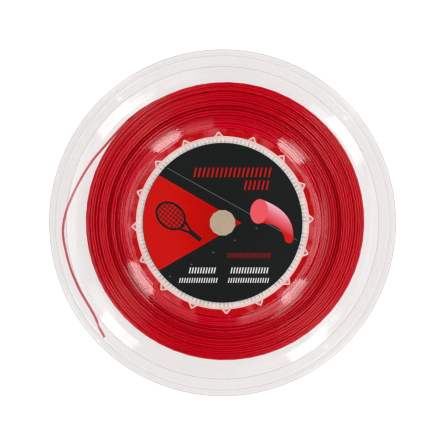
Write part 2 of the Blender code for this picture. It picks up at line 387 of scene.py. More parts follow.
def string_curve(name, points):
    curve = bpy.data.curves.new(name, "CURVE")
    curve.dimensions = "3D"
    curve.bevel_depth = STRING_D / 2
    curve.bevel_resolution = 4
    curve.use_fill_caps = True
    spline = curve.splines.new("POLY")
    spline.points.add(len(points) - 1)
    for point, place in zip(spline.points, points):
        point.co = (*place, 1.0)
    obj = bpy.data.objects.new(name, curve)
    bpy.context.scene.collection.objects.link(obj)
    return obj


# ---------------------------------------------------------------- materials


def new_material(name):
    made = bpy.data.materials.new(name)
    made.use_nodes = True
    return made, made.node_tree, made.node_tree.nodes["Principled BSDF"]


def noise(tree, scale, detail=3.0, roughness=0.5, stretch=(1.0, 1.0, 1.0)):
    """Noise in the object's own space; returns its 0 to 1 value socket."""
    place = tree.nodes.new("ShaderNodeTexCoord")
    mapping = tree.nodes.new("ShaderNodeMapping")
    mapping.inputs["Scale"].default_value = stretch
    texture = tree.nodes.new("ShaderNodeTexNoise")
    texture.inputs["Scale"].default_value = scale
    texture.inputs["Detail"].default_value = detail
    texture.inputs["Roughness"].default_value = roughness
    tree.links.new(place.outputs["Object"], mapping.inputs["Vector"])
    tree.links.new(mapping.outputs["Vector"], texture.inputs["Vector"])
    return texture.outputs["Fac"]


def ranged(tree, value, low, high, start=0.0, end=1.0):
    node = tree.nodes.new("ShaderNodeMapRange")
    node.inputs["From Min"].default_value = start
    node.inputs["From Max"].default_value = end
    node.inputs["To Min"].default_value = low
    node.inputs["To Max"].default_value = high
    tree.links.new(value, node.inputs["Value"])
    return node.outputs["Result"]


def blend_colour(tree, share, first, second):
    """A mix of two colours, each given as numbers or as another node's output."""
    node = tree.nodes.new("ShaderNodeMix")
    node.data_type = "RGBA"
    tree.links.new(share, node.inputs["Factor"])
    for socket, colour in ((node.inputs[6], first), (node.inputs[7], second)):
        if isinstance(colour, bpy.types.NodeSocket):
            tree.links.new(colour, socket)
        else:
            socket.default_value = (*colour, 1.0)
    return node.outputs[2]


def bump(tree, shader, height, strength, distance):
    node = tree.nodes.new("ShaderNodeBump")
    node.inputs["Strength"].default_value = strength
    node.inputs["Distance"].default_value = distance
    tree.links.new(height, node.inputs["Height"])
    tree.links.new(node.outputs["Normal"], shader.inputs["Normal"])


def share_at_grazing(tree, power, low, high):
    """From low where a surface faces the viewer to high where it is seen edge on."""
    weight = tree.nodes.new("ShaderNodeLayerWeight")
    weight.inputs["Blend"].default_value = 0.5
    curve = tree.nodes.new("ShaderNodeMath")
    curve.operation = "POWER"
    curve.inputs[1].default_value = power
    tree.links.new(weight.outputs["Facing"], curve.inputs[0])
    return ranged(tree, curve.outputs[0], low, high)


def clear_plastic(name, passed, passed_on_edge, mirrored, mirrored_on_edge):
    """A clear wall: each face mirrors a share of the light, more so seen edge on, and tints it."""
    made, tree, shader = new_material(name)
    smears = noise(tree, 60.0, 1.0, 0.5, (1.0, 1.0, 0.3))
    shader.inputs["Base Color"].default_value = (1.0, 1.0, 1.0, 1.0)
    shader.inputs["Metallic"].default_value = 1.0
    tree.links.new(ranged(tree, smears, 0.04, 0.08, 0.3, 0.7), shader.inputs["Roughness"])
    bump(tree, shader, noise(tree, 45.0, 1.0), 0.1, 0.0001)
    see_through = tree.nodes.new("ShaderNodeBsdfTransparent")
    dim = [passed_on_edge * part for part in passed]
    tint = blend_colour(tree, share_at_grazing(tree, 1.5, 0.0, 1.0), passed, dim)
    tree.links.new(tint, see_through.inputs["Color"])
    mix = tree.nodes.new("ShaderNodeMixShader")
    share = share_at_grazing(tree, 5.0, mirrored, mirrored_on_edge)
    tree.links.new(share, mix.inputs["Fac"])
    tree.links.new(see_through.outputs["BSDF"], mix.inputs[1])
    tree.links.new(shader.outputs["BSDF"], mix.inputs[2])
    tree.links.new(mix.outputs["Shader"], tree.nodes["Material Output"].inputs["Surface"])
    return made


def radius_share(tree, start, end):
    """0 to 1 as the distance from the reel's axis goes from start to end."""
    place = tree.nodes.new("ShaderNodeTexCoord")
    flat = tree.nodes.new("ShaderNodeVectorMath")
    flat.operation = "MULTIPLY"
    flat.inputs[1].default_value = (1.0, 1.0, 0.0)
    size = tree.nodes.new("ShaderNodeVectorMath")
    size.operation = "LENGTH"
    tree.links.new(place.outputs["Object"], flat.inputs[0])
    tree.links.new(flat.outputs["Vector"], size.inputs[0])
    return ranged(tree, size.outputs["Value"], 0.0, 1.0, start, end)


def milky_plastic(name, dull, bright):
    """Milky plastic, nearly white at the core, with painted light: pink in the flutes next to the
    string, for the string's red light showing through, and a faint painted glow all over.
    """
    made, tree, shader = new_material(name)
    clouds = noise(tree, 220.0, 3.0)
    white = blend_colour(tree, ranged(tree, clouds, 0.0, 1.0, 0.35, 0.65), dull, bright)
    pink = blend_colour(tree, clouds, (0.86, 0.5, 0.46), (0.96, 0.66, 0.61))
    # painted light: towards the flutes the colour turns pink, for the string's red light showing
    # through the plastic
    share = radius_share(tree, CORE_R - 2.2 * MM, CORE_R - 0.4 * MM)
    tree.links.new(blend_colour(tree, share, white, pink), shader.inputs["Base Color"])
    tree.links.new(ranged(tree, clouds, 0.35, 0.5), shader.inputs["Roughness"])
    # painted glow: the plastic gives off a faint warm light of its own, to brighten it
    shader.inputs["Emission Color"].default_value = (1.0, 0.93, 0.9, 1.0)
    shader.inputs["Emission Strength"].default_value = 0.18
    bump(tree, shader, noise(tree, 1500.0, 2.0), 0.15, 0.00003)
    return made


def glowing_plastic():
    """Clear plastic with the string pressed round it, which fills it with red light."""
    made, tree, shader = new_material("string_lit_plastic")
    shader.inputs["Specular IOR Level"].default_value = 0.0
    # painted light: the red base and the glow stand for the string's light in the plastic, and the
    # pink blotches are painted glints
    clouds = ranged(tree, noise(tree, 130.0, 3.0), 0.0, 1.0, 0.46, 0.7)
    tree.links.new(
        blend_colour(tree, clouds, (0.48, 0.0006, 0.003), (0.62, 0.09, 0.105)),
        shader.inputs["Base Color"],
    )
    shader.inputs["Emission Color"].default_value = (1.0, 0.02, 0.035, 1.0)
    shader.inputs["Emission Strength"].default_value = 0.2
    tree.links.new(ranged(tree, clouds, 0.12, 0.3), shader.inputs["Roughness"])
    return made


def flute_floor_plastic():
    """The milky skin low inside each flute, painted red and pink for the light of the string behind
    it showing through.
    """
    made, tree, shader = new_material("flute_floor_plastic")
    shader.inputs["Specular IOR Level"].default_value = 0.1
    clouds = noise(tree, 120.0, 3.0)
    # painted light: the skin's red and pink stand for the string's light coming through it
    tree.links.new(
        blend_colour(tree, clouds, (0.7, 0.03, 0.04), (0.86, 0.3, 0.3)),
        shader.inputs["Base Color"],
    )
    tree.links.new(ranged(tree, clouds, 0.3, 0.5), shader.inputs["Roughness"])
    return made


def red_string(name, painted_paleness, painted_edge_colour, painted_edge_power):
    """Smooth red string, painted lighter in the inner layers as if lit more there, with a painted
    edge colour where seen edge on: painted shade on the winding, a pale painted sheen on the free
    end.
    """
    made, tree, shader = new_material(name)
    shader.inputs["Specular IOR Level"].default_value = 0.5
    along = noise(tree, 30.0, 2.0)
    # painted light: the given paleness adds pink to the red, for a string lit from all round
    outer = blend_colour(
        tree,
        along,
        (0.78, 0.0006 + painted_paleness, 0.012 + painted_paleness),
        (0.92, 0.001 + painted_paleness, 0.019 + painted_paleness),
    )
    # painted light: the inner layers near the hub take a lighter red
    inner = blend_colour(tree, along, (0.96, 0.002, 0.03), (1.0, 0.004, 0.04))
    body = blend_colour(tree, radius_share(tree, 47.0 * MM, 53.0 * MM), inner, outer)
    # painted edge colour: where the string is seen edge on, its colour turns to the given edge
    # colour, painted shade or painted sheen
    edge = share_at_grazing(tree, painted_edge_power, 0.0, 1.0)
    tree.links.new(blend_colour(tree, edge, body, painted_edge_colour), shader.inputs["Base Color"])
    tree.links.new(ranged(tree, along, 0.1, 0.16), shader.inputs["Roughness"])
    bump(tree, shader, noise(tree, 2500.0, 2.0), 0.1, 0.00002)
    return made


def print_ink(name, first, second):
    """Ink on coated card: faint mottling and a fine paper tooth."""
    made, tree, shader = new_material(name)
    shader.inputs["Specular IOR Level"].default_value = 0.04
    mottle = noise(tree, 700.0, 4.0, 0.6)
    tree.links.new(blend_colour(tree, mottle, first, second), shader.inputs["Base Color"])
    tree.links.new(ranged(tree, mottle, *INK_ROUGHNESS), shader.inputs["Roughness"])
    bump(tree, shader, noise(tree, 4000.0, 2.0), 0.12, 0.00002)
    return made


def bare_card():
    """Unprinted card, seen from inside the hub: it has a painted glow, standing for the light that
    comes through it from the surface below.
    """
    made, tree, shader = new_material("label_card")
    mottle = noise(tree, 500.0, 4.0, 0.6)
    colour = blend_colour(tree, mottle, (0.44, 0.34, 0.24), (0.52, 0.42, 0.31))
    tree.links.new(colour, shader.inputs["Base Color"])
    # painted glow: the card gives off light in its own colour
    tree.links.new(colour, shader.inputs["Emission Color"])
    shader.inputs["Emission Strength"].default_value = 0.75
    tree.links.new(ranged(tree, mottle, 0.7, 0.85), shader.inputs["Roughness"])
    bump(tree, shader, noise(tree, 3000.0, 2.0), 0.3, 0.00003)
    return made


def drawn_string_ink():
    """The drawn string's shading, from a pale shine at its upper left to red at its end."""
    made, tree, shader = new_material("label_drawn_string")
    place = tree.nodes.new("ShaderNodeTexCoord")
    across = tree.nodes.new("ShaderNodeVectorMath")
    across.operation = "DOT_PRODUCT"
    across.inputs[1].default_value = (-0.5, -0.866, 0.0)
    tree.links.new(place.outputs["Object"], across.inputs[0])
    share = ranged(tree, across.outputs["Value"], 0.0, 1.0, -20.0 * MM, -11.0 * MM)
    ramp = tree.nodes.new("ShaderNodeValToRGB")
    stops = ramp.color_ramp.elements
    stops[0].position = 0.0
    stops[0].color = (0.95, 0.52, 0.6, 1.0)
    stops[1].position = 1.0
    stops[1].color = (0.75, 0.002, 0.004, 1.0)
    middle = stops.new(0.45)
    middle.color = (0.95, 0.17, 0.22, 1.0)
    tree.links.new(share, ramp.inputs["Fac"])
    tree.links.new(ramp.outputs["Color"], shader.inputs["Base Color"])
    shader.inputs["Specular IOR Level"].default_value = 0.1
    mottle = noise(tree, 700.0, 3.0)
    tree.links.new(ranged(tree, mottle, *INK_ROUGHNESS), shader.inputs["Roughness"])
    bump(tree, shader, noise(tree, 4000.0, 2.0), 0.12, 0.00002)
    return made


def floor_material():
    """A pale matt floor that glows a little, so that it stays white right up to the reel."""
    made, tree, shader = new_material("pale_floor")
    tone = noise(tree, 3.0, 2.0)
    tree.links.new(
        blend_colour(tree, tone, (0.28, 0.285, 0.28), (0.3, 0.305, 0.3)),
        shader.inputs["Base Color"],
    )
    shader.inputs["Roughness"].default_value = 0.9
    shader.inputs["Specular IOR Level"].default_value = 0.1
    shader.inputs["Emission Color"].default_value = (1.0, 1.0, 1.0, 1.0)
    shader.inputs["Emission Strength"].default_value = 0.82
    return made


# ---------------------------------------------------------------- spool


def flange_profile():
    """(radius, depth) of a flange with its edges rounded, out along the outer side."""
    rim_in = FLANGE_R - RIM_WIDTH
    lip_depth = HUB_FACE_DEPTH + DISH_LIP
    dish = []
    for i in range(DISH_STEPS + 1):
        t = i / DISH_STEPS
        depth = lip_depth + (TROUGH_DEPTH - lip_depth) * (1.0 - (1.0 - t) ** 2)
        dish.append((DISH_START_R + (DISH_END_R - DISH_START_R) * t, depth, 0.0))
    corners = [
        (BORE_R, POCKET_DEPTH, 0.15 * MM),
        (LABEL_R + 0.5 * MM, POCKET_DEPTH, 0.1 * MM),
        (LABEL_R + 0.8 * MM, HUB_FACE_DEPTH, 0.12 * MM),
        (DISH_START_R - 0.3 * MM, HUB_FACE_DEPTH, 0.1 * MM),
        *dish,
        (SLOPE_START_R, SLOPE_START_DEPTH, 3.0 * MM),
        (BAND_R - BAND_STEP_WIDTH, BAND_DEPTH + BAND_STEP_DEPTH, 0.05 * MM),
        (BAND_R, BAND_DEPTH, 0.05 * MM),
        (rim_in - 0.2 * MM, BAND_DEPTH, 0.2 * MM),
        (rim_in + 0.4 * MM, 0.0, 0.2 * MM),
        (FLANGE_R, 0.0, 0.45 * MM),
        (FLANGE_R, RIM_DEPTH, 0.45 * MM),
        (rim_in + 1.1 * MM, RIM_DEPTH, 0.5 * MM),
        (rim_in - 1.0 * MM, BAND_DEPTH + BAND_WALL, 1.0 * MM),
        (BAND_R + 0.15 * MM, BAND_DEPTH + BAND_WALL, 0.1 * MM),
        (BAND_R - 0.25 * MM, BAND_DEPTH + 0.5 * MM + BAND_WALL, 0.1 * MM),
        (SLOPE_START_R, TROUGH_DEPTH + WALL, 3.0 * MM),
        (TROUGH_IN_R, TROUGH_DEPTH + WALL, 4.0 * MM),
        (HUB_FACE_R + 0.6 * MM, HUB_SEAT_DEPTH, 0.8 * MM),
        (BOSS_R, HUB_SEAT_DEPTH, 0.5 * MM),
        (BOSS_R - 0.2 * MM, BOSS_DEPTH, 0.3 * MM),
        (BORE_R, BOSS_DEPTH, 0.3 * MM),
    ]
    return rounded(corners)


def make_flanges(front_plastic, rear_plastic, rim_plastic):
    """Two turned mouldings; the front one is drilled, and has darker walls at its rim and step,
    painted shade in the clear plastic.
    """
    profile = flange_profile()
    front = turned("front_flange_clear", [(p.x, REEL_HEIGHT - p.y) for p in profile])
    rear = turned("rear_flange_clear", [(p.x, p.y) for p in reversed(profile)])
    for angle in HOLE_ANGLES:
        shape = bmesh.new()
        bmesh.ops.create_cone(
            shape, cap_ends=True, segments=32, radius1=HOLE_R, radius2=HOLE_R, depth=6 * MM
        )
        x, y = polar(HOLE_CIRCLE_R, angle)
        bmesh.ops.translate(shape, verts=shape.verts, vec=(x, y, REEL_HEIGHT - BAND_DEPTH))
        mesh = bpy.data.meshes.new("hole")
        shape.to_mesh(mesh)
        shape.free()
        cutter = bpy.data.objects.new("hole", mesh)
        bpy.context.scene.collection.objects.link(cutter)
        boolean = front.modifiers.new("hole", "BOOLEAN")
        boolean.object = cutter
        front = evaluated_mesh(front)
        bpy.data.objects.remove(cutter)
    front.data.set_sharp_from_angle(angle=math.radians(FLANGE_SHARP_ANGLE))
    paint(front, front_plastic, rim_plastic)
    paint(rear, rear_plastic, rim_plastic)
    # the rim and the step take the darker clear plastic, which is painted shade
    for face in front.data.polygons:
        radius = face.center.xy.length
        on_rim = radius > FLANGE_R - RIM_WIDTH + 0.1 * MM
        on_step = BAND_R - BAND_STEP_WIDTH < radius < BAND_R + 0.1 * MM
        face.material_index = int(on_rim or on_step)
    settle(front, "front_flange")
    settle(rear, "rear_flange")


def sleeve_outline(radius):
    """A ring outline that swells over each flute."""
    outline = []
    for i in range(FLUTES * SLEEVE_STEPS):
        turn = 360.0 * i / (FLUTES * SLEEVE_STEPS)
        swell = max(0.0, math.cos(math.radians(FLUTES * turn))) ** 2
        outline.append(polar(radius + SLEEVE_SWELL * swell, turn + FLUTE_OFFSET))
    return outline


def core_outline(grown=0.0):
    """The core's outside with its flutes, moved out by grown."""
    outline = []
    pitch = 360.0 / FLUTES
    foot = FLUTE_HALF_ANGLE + math.degrees(grown / CORE_R)
    tip_half = FLUTE_TIP_HALF_ANGLE + 0.7 * math.degrees(grown / CORE_R)
    for i in range(FLUTES):
        centre = FLUTE_OFFSET + pitch * i
        for k in (-1.0, -0.5, 0.0, 0.5, 1.0):
            radius = FLUTE_TIP_R + grown - FLUTE_TIP_DROP * abs(k) ** 1.5
            outline.append(polar(radius, centre + tip_half * k))
        for k in range(CORE_STEPS + 1):
            turn = centre + foot + (pitch - 2 * foot) * k / CORE_STEPS
            outline.append(polar(CORE_R + grown, turn))
    return outline


def rib_outline():
    """The bore of the core's crowns, notched between fine ribs."""
    outline = []
    pitch = 360.0 / RIBS
    notch = (
        (CROWN_BORE_R, -NOTCH_MOUTH),
        (CORE_BORE_R + RIB_DEPTH, -NOTCH_FLOOR),
        (CORE_BORE_R + RIB_DEPTH, NOTCH_FLOOR),
        (CROWN_BORE_R, NOTCH_MOUTH),
    )
    for i in range(RIBS):
        centre = FLUTE_OFFSET + pitch * (i + 0.5)
        outline += [polar(radius, centre + pitch * aside) for radius, aside in notch]
    return outline


def flute_cell(centre):
    """The hollow inside one flute."""
    foot_r = CORE_R + 0.1 * MM
    foot_half = FLUTE_HALF_ANGLE - 1.6
    tip_r = FLUTE_TIP_R - FLUTE_WALL
    tip_half = 0.35
    return [
        polar(foot_r, centre - foot_half),
        polar(tip_r, centre - tip_half),
        polar(tip_r, centre + tip_half),
        polar(foot_r, centre + foot_half),
    ]


def ring_points(radius, count, offset=0.0):
    return [polar(radius, 360.0 * (i + offset) / count) for i in range(count)]


def make_hub(glowing, milky, shaded_milky, flute_floor):
    """The sleeve with its two collars, and the core with its two crowns and flute floors."""
    low, high = (corner.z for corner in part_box("hub_sleeve"))
    wall_r = SLEEVE_BORE_R + SLEEVE_WALL
    sleeve = [sleeve_outline(wall_r + SLEEVE_STAND), sleeve_outline(SLEEVE_BORE_R)]
    collar = [sleeve_outline(wall_r + COLLAR_STAND), core_outline(COLLAR_GAP)]
    cells = [flute_cell(FLUTE_OFFSET + 360.0 / FLUTES * i) for i in range(FLUTES)]
    core = [core_outline(), ring_points(CROWN_BORE_R + CROWN_LAP, 4 * FLUTES), *cells]
    crown = [core_outline(), rib_outline(), *cells]
    floor_top = FLUTE_FLOOR_DEPTH
    floor_foot = 2 * FLUTE_FLOOR_DEPTH
    for name, outlines, start, end, bevel, finish in (
        ("hub_sleeve_clear", sleeve, low + COLLAR_DEPTH, high - COLLAR_DEPTH, 0.0, glowing),
        ("hub_sleeve_front_collar", collar, high - COLLAR_DEPTH, high, EDGE_BEVEL, glowing),
        ("hub_sleeve_rear_collar", collar, low, low + COLLAR_DEPTH, EDGE_BEVEL, glowing),
        # the core's body takes the darker milky plastic, which is painted shade
        ("hub_core_milky", core, low + CROWN_DEPTH, high - CROWN_DEPTH, 0.0, shaded_milky),
        ("hub_core_front_crown", crown, high - CROWN_DEPTH, high, EDGE_BEVEL, milky),
        ("hub_core_rear_crown", crown, low, low + CROWN_DEPTH, EDGE_BEVEL, milky),
        # the flute floors carry the painted red light of the string behind them
        ("hub_core_front_flute_floors", cells, high - floor_foot, high - floor_top, 0.0, flute_floor),
        ("hub_core_rear_flute_floors", cells, low + floor_top, low + floor_foot, 0.0, flute_floor),
    ):
        piece = outline_plate(name, outlines, start, end, bevel)
        paint(piece, finish)
        if name.startswith("hub_sleeve"):
            settle(piece, "hub_sleeve")
        else:
            settle(piece, "hub_core")


# ---------------------------------------------------------------- labels


def printed(name, outlines, ink, depth=INK_DEPTH):
    """A flat of ink let into the front label's face and standing a hair above it."""
    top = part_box("front_label")[1].z
    plate = outline_plate(name, outlines, top - depth, top + INK_STAND)
    paint(plate, ink)
    return plate


def label_wedge():
    """The red field: from the label's edge to a point just past the punched hole."""
    aside = WEDGE_TIP_X * math.sin(math.radians(WEDGE_HALF_ANGLE))
    half = WEDGE_HALF_ANGLE + math.degrees(math.asin(aside / INK_EDGE_R))
    steps = 40
    edge = [
        polar(INK_EDGE_R, 180.0 - half + 2.0 * half * i / steps) for i in range(steps + 1)
    ]
    return [*edge, (WEDGE_TIP_X, 0.0)]


def racket_place(along, across):
    """A point of the racket, given from its head's centre towards its grip and across."""
    tilt = math.radians(RACKET_TILT)
    x = RACKET_HEAD[0] + along * math.cos(tilt) - across * math.sin(tilt)
    y = RACKET_HEAD[1] + along * math.sin(tilt) + across * math.cos(tilt)
    return x, y


def racket_frame():
    """A generic racket: head, two throat struts and a grip."""
    grip_half = 1.15 * MM
    grip_start = 12.4 * MM
    grip_end = 19.0 * MM
    throat_angle = 26.0
    steps = 48
    outer = []
    for i in range(steps + 1):
        turn = math.radians(throat_angle + (360.0 - 2 * throat_angle) * i / steps)
        outer.append((RACKET_LONG * math.cos(turn), RACKET_SHORT * math.sin(turn)))
    outer += [(grip_start, -grip_half), (grip_end, -grip_half)]
    outer += [(grip_end, grip_half), (grip_start, grip_half)]
    inner = []
    for i in range(steps):
        turn = math.radians(360.0 * i / steps)
        u = (RACKET_LONG - RACKET_FRAME) * math.cos(turn)
        v = (RACKET_SHORT - RACKET_FRAME) * math.sin(turn)
        inner.append((u, v))
    throat = [
        (RACKET_LONG + 0.5 * MM, 0.0),
        (RACKET_LONG - 0.4 * MM, 1.5 * MM),
        (grip_start - 0.6 * MM, 0.0),
        (RACKET_LONG - 0.4 * MM, -1.5 * MM),
    ]
    return [[racket_place(u, v) for u, v in ring] for ring in (outer, inner, throat)]


def racket_strings(across):
    """The racket's strings one way: straight lines from side to side of its head."""
    long_half = RACKET_LONG - 0.5 * RACKET_FRAME
    short_half = RACKET_SHORT - 0.5 * RACKET_FRAME
    if across:
        long_half, short_half = short_half, long_half
    outlines = []
    count = int(short_half / RACKET_MESH)
    for i in range(-count, count + 1):
        aside = RACKET_MESH * i
        reach = long_half * math.sqrt(1.0 - (aside / short_half) ** 2)
        ends = [(-reach, aside), (reach, aside)]
        if across:
            ends = [(v, u) for u, v in ends]
        start, end = (Vector(racket_place(u, v)) for u, v in ends)
        outlines.append(stroke(start, end, RACKET_STRING))
    return outlines


def stroke_rows(rows):
    """Slanted strokes side by side, where a label has its lines of print."""
    outlines = []
    for row in rows:
        start, end, foot, height, pitch, thickness = (size * MM for size in row)
        slant = STROKE_SLANT * height
        for i in range(round((end - start) / pitch)):
            x = start + pitch * i
            outlines.append(
                [
                    (x, foot),
                    (x + thickness, foot),
                    (x + thickness + slant, foot + height),
                    (x + slant, foot + height),
                ]
            )
    return outlines


def cut_string_outline():
    """The drawn length of string: a bent centreline with a width that tapers to a round end."""
    start = Vector((18.0, 5.6))
    bend = Vector((32.0, 3.2))
    end = Vector((32.6, -8.0))
    half_start = 6.0
    half_end = 2.0
    steps = 28
    cap_steps = 10
    left = []
    right = []
    for i in range(steps + 1):
        t = i / steps
        centre = (1 - t) ** 2 * start + 2 * t * (1 - t) * bend + t * t * end
        along = (2 * (1 - t) * (bend - start) + 2 * t * (end - bend)).normalized()
        across = Vector((-along.y, along.x))
        half = half_start + (half_end - half_start) * t**0.8
        left.append(centre + across * half)
        right.append(centre - across * half)
    cap = []
    for i in range(1, cap_steps):
        turn = math.pi * i / cap_steps
        cap.append(end + (across * math.cos(turn) + along * math.sin(turn)) * half_end)
    outline = [*left, *cap, *reversed(right)]
    return [(p.x * MM, p.y * MM) for p in outline]


def cut_face_outline():
    """The drawn string's cut face: a tilted oval."""
    centre = (17.9 * MM, 5.6 * MM)
    half_wide = 4.3 * MM
    half_high = 6.05 * MM
    tilt = math.radians(-8.0)
    steps = 40
    outline = []
    for i in range(steps):
        turn = 2.0 * math.pi * i / steps
        u = half_wide * math.cos(turn)
        v = half_high * math.sin(turn)
        x = centre[0] + u * math.cos(tilt) - v * math.sin(tilt)
        y = centre[1] + u * math.sin(tilt) + v * math.cos(tilt)
        outline.append((x, y))
    return outline


def stroke(start, end, width):
    along = (end - start).normalized() * width / 2
    across = Vector((-along.y, along.x))
    corners = (start - across, end - across, end + across, start + across)
    return [(p.x, p.y) for p in corners]


def grey_marks():
    """The thin line that crosses the label, and the small dots."""
    start, end = (Vector(place) * MM for place in GREY_LINE)
    marks = [stroke(start, end, GREY_LINE_WIDTH)]
    for number in DOT_NUMBERS:
        x = (DOT_START[0] + DOT_STEP[0] * number) * MM
        y = (DOT_START[1] + DOT_STEP[1] * number) * MM
        marks.append([(x + u, y + v) for u, v in ring_points(DOT_R, 10)])
    return marks


def make_label_art(inks):
    """The front label's print: a flat for each thing that is printed, later ones on top."""
    field = printed("label_red_field", [label_wedge()], inks["red"])
    punch = prism("punch", ring_points(PUNCH_R, PUNCH_SIDES, 0.5), 0.0, REEL_HEIGHT)
    boolean = field.modifiers.new("punch", "BOOLEAN")
    boolean.object = punch
    field = evaluated_mesh(field)
    bpy.data.objects.remove(punch)
    black = inks["black"]
    pieces = (
        field,
        printed("label_racket_frame", racket_frame(), black, FINE_INK_DEPTH),
        printed("label_racket_mains", racket_strings(False), black, FINE_INK_DEPTH),
        printed("label_racket_crosses", racket_strings(True), black, FINE_INK_DEPTH),
        printed("label_grey_line", grey_marks(), inks["grey"]),
        printed("label_red_strokes", stroke_rows(RED_STROKES), inks["red"]),
        printed("label_dull_strokes", stroke_rows(DULL_STROKES), inks["dull_red"]),
        printed("label_white_strokes", stroke_rows(WHITE_STROKES), inks["white"]),
        printed("label_cut_string", [cut_string_outline()], inks["drawn_string"]),
        printed("label_cut_face", [cut_face_outline()], inks["drawn_face"]),
    )
    for number, piece in enumerate(pieces):
        piece.location.z = INK_STACK * number
        settle(piece, "front_label")


def make_labels(inks):
    edge = ring_points(LABEL_R, LABEL_SIDES)
    punch = ring_points(PUNCH_R, PUNCH_SIDES, 0.5)
    low, high = (corner.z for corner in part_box("front_label"))
    front = outline_plate("front_label_card", [edge, punch], low, high, LABEL_BEVEL)
    paint(front, inks["black"])
    settle(front, "front_label")
    make_label_art(inks)
    low, high = (corner.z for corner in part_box("rear_label"))
    rear = outline_plate("rear_label_card", [edge], low, high, LABEL_BEVEL)
    paint(rear, inks["card"])
    settle(rear, "rear_label")


# ---------------------------------------------------------------- string


def winding_path():
    """Centreline of the wound string, layer by layer: arrays of angle in turns, radius, height."""
    rng = np.random.default_rng(7)
    angle, radius, height = [], [], []
    turn = START_ANGLE / 360.0
    tail = Vector(TAIL_ROUTE[0]) * MM
    tail_turn = math.degrees(math.atan2(tail.y, tail.x)) / 360.0
    middle = REEL_HEIGHT / 2
    reach = 0.0
    for layer in range(LAYERS):
        r_here = FIRST_LAYER_R + LAYER_PITCH * layer
        share = min(1.0, (r_here - FIRST_LAYER_R) / SIDE_GAP_STRETCH)
        gap = HUB_SIDE_GAP + (SIDE_GAP - HUB_SIDE_GAP) * share
        full = middle - gap - STRING_D / 2
        up = 1.0 if layer % 2 == 0 else -1.0
        start = -up * reach
        unevenness = FRONT_UNEVENNESS if up > 0.0 else REAR_UNEVENNESS
        reach = full - rng.uniform(0.0, 1.0) ** 2 * unevenness * STRING_D
        end = up * reach
        climb = rng.uniform(0.35, 0.7)
        turns = abs(end - start) / TURN_PITCH + climb
        if layer == LAYERS - 1:
            end = tail.z - middle
            turns = abs(end - start) / TURN_PITCH
            turns += (tail_turn - turn - turns) % 1.0
            climb = 0.0
        steps = int(round(turns * TURN_STEPS))
        t = np.linspace(0.0, turns, steps, endpoint=layer == LAYERS - 1)
        straight = turns - climb
        z = start + (end - start) * np.clip(t / straight, 0.0, 1.0)
        r = r_here + LAYER_PITCH * ease((t - straight) / max(climb, 1e-6)) * (climb > 0)
        angle.append(turn + t)
        radius.append(r)
        height.append(z + middle)
        turn += turns
    return np.concatenate(angle), np.concatenate(radius), np.concatenate(height)


def wander(turn, radius, rng):
    """Smooth small offsets of the winding, alike for neighbouring turns."""
    offset = np.zeros_like(turn)
    waves = (0, 1, 1, 2, 2, 3)
    for wave in waves:
        drift = rng.uniform(-0.03, 0.03)
        phase = rng.uniform(0.0, 2.0 * np.pi)
        depth = rng.uniform(400.0, 2200.0)
        offset += np.sin(2 * np.pi * (wave + drift) * turn + phase + depth * radius)
    return offset / len(waves)


def make_winding(string_material):
    """The wound string: one unbroken path, meshed in a few pieces of equal length."""
    turn, radius, height = winding_path()
    rng = np.random.default_rng(21)
    radius = radius + WANDER_OUT * wander(turn, radius, rng)
    height = height + WANDER_ALONG * wander(turn, radius, rng)
    last_r = FIRST_LAYER_R + LAYER_PITCH * (LAYERS - 1)
    share = np.clip((radius - FIRST_LAYER_R) / (last_r - FIRST_LAYER_R), 0.0, 1.0)
    theta = 2.0 * np.pi * turn
    x = radius * np.cos(theta) + WINDING_SHIFT.x * share
    y = radius * np.sin(theta) + WINDING_SHIFT.y * share
    centre = np.stack([x, y, height], axis=-1)
    joining = ease((turn - turn[-1]) / JOIN_TURNS + 1.0)[:, None]
    centre += joining * (np.array(TAIL_ROUTE[0]) * MM - centre[-1])
    length = np.linalg.norm(np.diff(centre, axis=0), axis=1).sum()
    print(f"winding: {turn[-1] - turn[0]:.0f} turns, {length:.1f} m")
    outward = np.stack([np.cos(theta), np.sin(theta), np.zeros_like(theta)], axis=-1)
    sides = 2.0 * np.pi * (np.arange(STRING_SIDES) + 0.5) / STRING_SIDES
    upward = np.array([0.0, 0.0, 1.0])
    around = (
        outward[:, None, :] * np.cos(sides)[None, :, None]
        + upward[None, None, :] * np.sin(sides)[None, :, None]
    )
    points = centre[:, None, :] + around * STRING_D / 2
    cuts = np.linspace(0, len(turn) - 1, WINDING_PIECES + 1).astype(int)
    for number in range(WINDING_PIECES):
        first, last = cuts[number], cuts[number + 1]
        part = points[first : last + 1].reshape(-1, 3)
        count = last + 1 - first
        i = np.arange(count - 1)[:, None] * STRING_SIDES
        k = np.arange(STRING_SIDES)[None, :]
        nxt = (k + 1) % STRING_SIDES
        quads = np.stack(
            [i + k, i + STRING_SIDES + k, i + STRING_SIDES + nxt, i + nxt], axis=-1
        ).reshape(-1, 4)
        faces = [tuple(q) for q in quads.tolist()]
        faces.append(tuple(range(STRING_SIDES)))
        faces.append(tuple(reversed(range((count - 1) * STRING_SIDES, count * STRING_SIDES))))
        piece = add_mesh(f"string_turns_{number + 1}", part.tolist(), faces)
        paint(piece, string_material)
        settle(piece, "string_winding")


